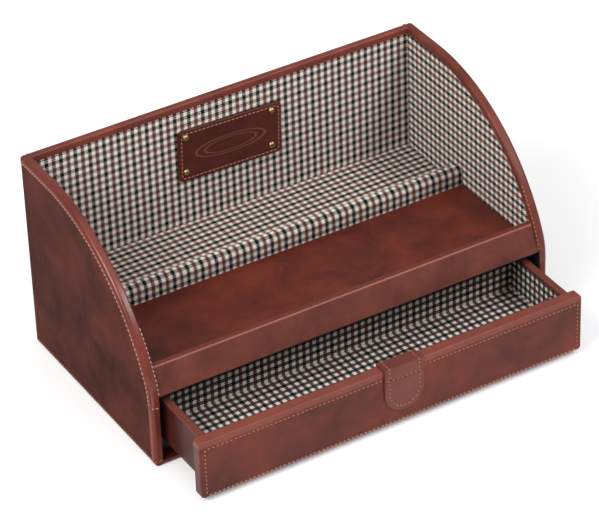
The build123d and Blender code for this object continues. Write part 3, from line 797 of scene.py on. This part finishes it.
back_row = [((side * back_row_x, back_y, height - binding_row_inset), (0, 1, 0)) for side in (1, -1)]
sew("back_binding_stitches", back_row, "cabinet", thread=pale_thread)

# The rows of the drawer's front and its pull tab
front_low, front_high = (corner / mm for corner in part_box("drawer_front_leather"))
tab_low, tab_high = (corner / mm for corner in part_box("pull_tab"))
strap_low, strap_high = (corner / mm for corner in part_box("pull_tab_strap"))
tab_x = (tab_low.x + tab_high.x) / 2
tab_half = (tab_high.x - tab_low.x) / 2
tab_row_inset = 3.5
tab_gap, corner_gap = 0.8, 1
drawer_row_z = front_high.z - 5.7
drawer_row_x = front_high.x - 3.6
drawer_foot_row_z = front_low.z + 2.0

for side, word in ((-1, "left"), (1, "right")):
    inner_x = tab_x + side * (tab_half + tab_gap)
    row_end_x = side * (drawer_row_x - corner_gap)
    across = [(inner_x, drawer_row_z), (row_end_x, drawer_row_z)]
    down = [(side * drawer_row_x, z) for z in (drawer_row_z - corner_gap, drawer_foot_row_z + corner_gap)]
    below = [(row_end_x, drawer_foot_row_z), (0, drawer_foot_row_z)]
    row = [((x, front_low.y, z), (0, -1, 0)) for x, z in across + down]
    foot_row = [((x, front_low.y, z), (0, -1, 0)) for x, z in below]
    sew(word + "_drawer_front_stitches", row, "drawer")
    sew(word + "_drawer_foot_stitches", foot_row, "drawer", thread=foot_thread)

seam_inset, seam_gap = 1.2, 1.6
seam_z = strap_low.z + seam_inset
seam_row = [((tab_x + side * (tab_half - seam_inset), strap_low.y, seam_z), (0, -1, 0)) for side in (-1, 1)]
sew("tab_seam_stitches", seam_row, "drawer")

strap_round = 0.6
tab_row_x = tab_half - tab_row_inset
for side, word in ((-1, "left"), (1, "right")):
    x = tab_x + side * tab_row_x
    strap_row = [
        ((x, strap_low.y, seam_z + seam_gap), (0, -1, 0)),
        ((x, strap_low.y, strap_high.z - strap_round), (0, -1, 0.05)),
        ((x, strap_low.y + strap_round, strap_high.z), (0, -0.05, 1)),
        ((x, strap_high.y - strap_round, strap_high.z), (0, 0.05, 1)),
        ((x, strap_high.y, strap_high.z - strap_round), (0, 1, 0.05)),
        ((x, strap_high.y, strap_low.z + strap_round), (0, 1, 0)),
    ]
    sew(word + "_strap_stitches", strap_row, "drawer")

tab_round_z = tab_low.z + tab_half
tab_row_top = tab_high.z - tab_gap
tip_steps = 24
tip_angles = [pi + pi * step / tip_steps for step in range(tip_steps + 1)]
tab_points = [(tab_x - tab_row_x, tab_row_top)]
tab_points += [(tab_x + tab_row_x * cos(angle), tab_round_z + tab_row_x * sin(angle)) for angle in tip_angles]
tab_points += [(tab_x + tab_row_x, tab_row_top)]
tab_row = [((x, tab_low.y, z), (0, -1, 0)) for x, z in tab_points]
sew("tab_stitches", tab_row, "tab")

# The name plate's border
plate_half_width, plate_half_height, plate_corner = 39.65, 19.6, 3.5
plate_row_inset = 2.4


def plate_border(inset):
    """Points round the name plate, set in from its edge."""
    round_corner = plate_corner - inset * 0.4
    corner_steps = 4
    points = []
    for turn, x_side, z_side in ((0, 1, 1), (1, -1, 1), (2, -1, -1), (3, 1, -1)):
        for step in range(corner_steps + 1):
            angle = (turn + step / corner_steps) * pi / 2
            x = x_side * (plate_half_width - inset - round_corner) + round_corner * cos(angle)
            z = z_side * (plate_half_height - inset - round_corner) + round_corner * sin(angle)
            across = Vector((cos(plate_tilt), 0, sin(plate_tilt))) * x
            upward = Vector((-sin(plate_tilt), 0, cos(plate_tilt))) * z
            points.append((plate_middle + across + upward, (0, -1, 0)))
    return points


sew("nameplate_stitches", plate_border(plate_row_inset), "cabinet", closed=True,
    thread=plate_thread)
bpy.data.objects.remove(stitch)


# Floor, lights and camera
floor_size, floor_glow = 6.0, 0.2
world_light = 0.45
box_middle = (0, 0, 0.05)

bpy.ops.object.select_all(action="DESELECT")
bpy.ops.mesh.primitive_plane_add(size=floor_size, location=(0, 0, 0))
floor = bpy.context.object
floor.name = "studio_floor"
floor_finish = make_plain("pale_floor", (0.95, 0.95, 0.95, 1), roughness=0.9, spread=0.01, height=0.0)
floor_shader = floor_finish.node_tree.nodes["Principled BSDF"]
floor_shader.inputs["Emission Color"].default_value = white
floor_shader.inputs["Emission Strength"].default_value = floor_glow
floor.data.materials.append(floor_finish)

world = bpy.data.worlds.new("studio") if bpy.context.scene.world is None else bpy.context.scene.world
bpy.context.scene.world = world
world.use_nodes = True
background = world.node_tree.nodes["Background"]
background.inputs["Color"].default_value = white
background.inputs["Strength"].default_value = world_light


def softbox(name, place, size, power):
    """A square area light that points at the middle of the box."""
    bpy.ops.object.light_add(type="AREA", location=place)
    lamp = bpy.context.object
    lamp.name = name
    lamp.data.size = size
    lamp.data.energy = power
    lamp.rotation_euler = (Vector(box_middle) - Vector(place)).to_track_quat("-Z", "Y").to_euler()


softbox("top_light", (0.1, -0.1, 1.6), size=1.2, power=2.8)
softbox("key_light", (0.66, -0.92, 1.2), size=0.36, power=9.5)
softbox("left_light", (-1.15, -0.3, 1.15), size=0.9, power=14.5)
softbox("left_glint", (-1.15, -0.32, 1.15), size=0.3, power=3.5)
bpy.context.scene.view_settings.view_transform = "Standard"

# The camera, as fitted to the photo
image_width, image_height = 599, 516
camera_turn = radians(-30.05)
camera_rise = radians(34.71)
camera_roll = radians(-2.13)
camera_distance = 2.20726
focal_pixels = 3369.26
image_centre = (298.47, 258.78)
camera_aim = Vector((-0.00064, -0.01393, 0.06415))

behind = Vector((sin(camera_turn) * cos(camera_rise), -cos(camera_turn) * cos(camera_rise), sin(camera_rise)))
level_right = (-behind).cross(Vector((0, 0, 1))).normalized()
level_up = level_right.cross(-behind)
right = level_right * cos(camera_roll) + level_up * sin(camera_roll)
up = level_up * cos(camera_roll) - level_right * sin(camera_roll)
bpy.ops.object.camera_add(location=camera_aim + behind * camera_distance)
camera = bpy.context.object
camera.rotation_euler = Matrix((right, up, behind)).transposed().to_euler()
camera.data.sensor_width = 36
camera.data.lens = focal_pixels * camera.data.sensor_width / image_width
camera.data.shift_x = (image_width / 2 - image_centre[0]) / image_width
camera.data.shift_y = (image_centre[1] - image_height / 2) / image_width
camera.data.clip_end = 20
bpy.context.scene.camera = camera
